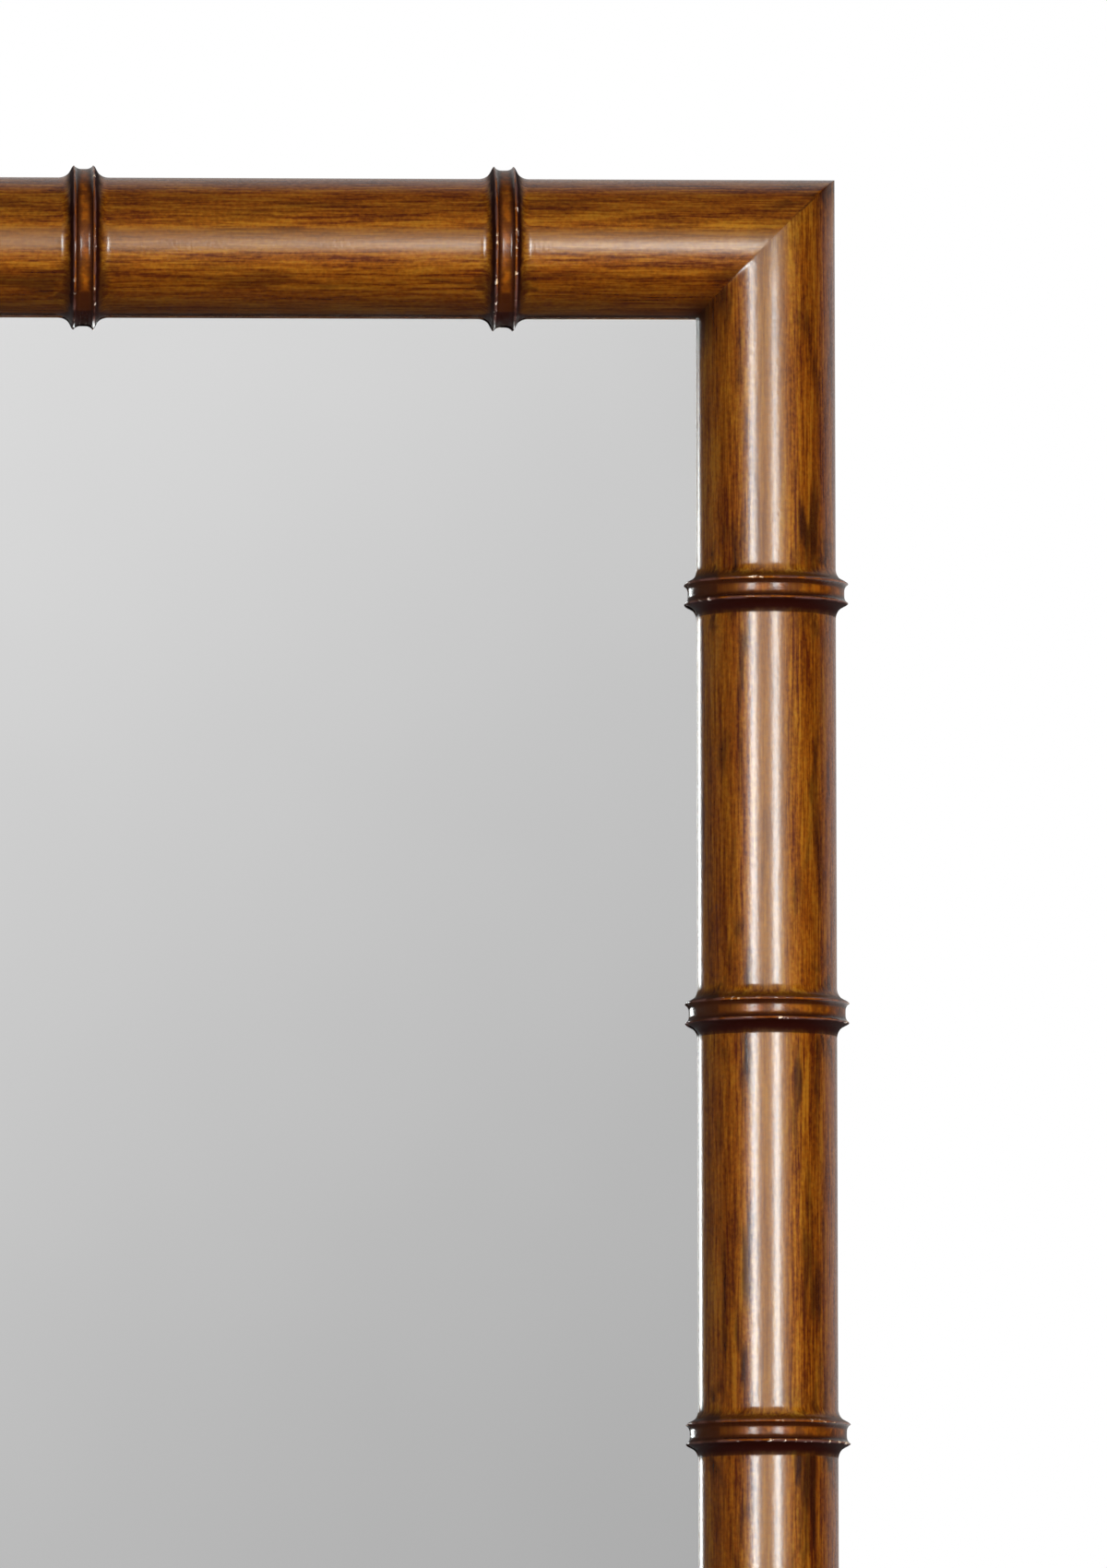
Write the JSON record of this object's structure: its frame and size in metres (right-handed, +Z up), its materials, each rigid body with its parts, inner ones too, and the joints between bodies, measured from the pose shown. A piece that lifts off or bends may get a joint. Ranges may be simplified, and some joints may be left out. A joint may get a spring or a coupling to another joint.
{
  "type": "wall mirror",
  "caption": "Rectangular wall mirror in a bamboo-turned, mitred hardwood frame with double-crested node rings, rebated rails and ring hangers.",
  "frame": {"origin": "centre of the mirror on the wall plane that its rear bumpers rest on", "axes": "+Z up along the long side, +Y into the wall, the mirror faces -Y, +X to the right seen from the front"},
  "size_m": [0.618, 0.0459, 0.938],
  "materials": {
    "wood": "glossy stained hardwood",
    "silvered_glass": "plain silvered",
    "foam": "closed foam",
    "hardboard": "raw hardboard",
    "steel": "bright steel",
    "zinc": "zinc plated",
    "rubber": "matt"
  },
  "bodies": {
    "frame": {"top_rail": "wood", "right_rail": "wood", "bottom_rail": "wood", "left_rail": "wood", "top_turning": "wood", "right_turning": "wood", "bottom_turning": "wood", "left_turning": "wood", "mitre_nails": "steel", "mirror_glass": "silvered_glass", "cushion_sheet": "foam", "backing_board": "hardboard", "turn_button_screws": "steel", "left_hanger_strap": "zinc", "right_hanger_strap": "zinc", "wall_bumpers": "rubber"},
    "top_turn_button": {"top_turn_button": "steel"},
    "right_turn_button_1": {"right_turn_button_1": "steel"},
    "right_turn_button_2": {"right_turn_button_2": "steel"},
    "bottom_turn_button": {"bottom_turn_button": "steel"},
    "left_turn_button_1": {"left_turn_button_1": "steel"},
    "left_turn_button_2": {"left_turn_button_2": "steel"},
    "left_hanger_ring": {"left_hanger_ring": "zinc"},
    "right_hanger_ring": {"right_hanger_ring": "zinc"}
  },
  "joints": [
    {"name": "top_turn_button_swivel", "type": "hinge", "parent": "frame", "child": "top_turn_button", "pos_m": [0, -0.005, 0.439], "axis": [0, 1, 0], "continuous": true},
    {"name": "right_turn_button_1_swivel", "type": "hinge", "parent": "frame", "child": "right_turn_button_1", "pos_m": [0.279, -0.005, 0.18], "axis": [0, 1, 0], "continuous": true},
    {"name": "right_turn_button_2_swivel", "type": "hinge", "parent": "frame", "child": "right_turn_button_2", "pos_m": [0.279, -0.005, -0.18], "axis": [0, 1, 0], "continuous": true},
    {"name": "bottom_turn_button_swivel", "type": "hinge", "parent": "frame", "child": "bottom_turn_button", "pos_m": [0, -0.005, -0.439], "axis": [0, 1, 0], "continuous": true},
    {"name": "left_turn_button_1_swivel", "type": "hinge", "parent": "frame", "child": "left_turn_button_1", "pos_m": [-0.279, -0.005, -0.18], "axis": [0, 1, 0], "continuous": true},
    {"name": "left_turn_button_2_swivel", "type": "hinge", "parent": "frame", "child": "left_turn_button_2", "pos_m": [-0.279, -0.005, 0.18], "axis": [0, 1, 0], "continuous": true},
    {"name": "left_hanger_ring_swing", "type": "hinge", "parent": "frame", "child": "left_hanger_ring", "pos_m": [-0.287, -0.00349, 0.3], "axis": [-1, 0, 0], "range_deg": [0, 175]},
    {"name": "right_hanger_ring_swing", "type": "hinge", "parent": "frame", "child": "right_hanger_ring", "pos_m": [0.287, -0.00349, 0.3], "axis": [-1, 0, 0], "range_deg": [0, 175]}
  ]
}
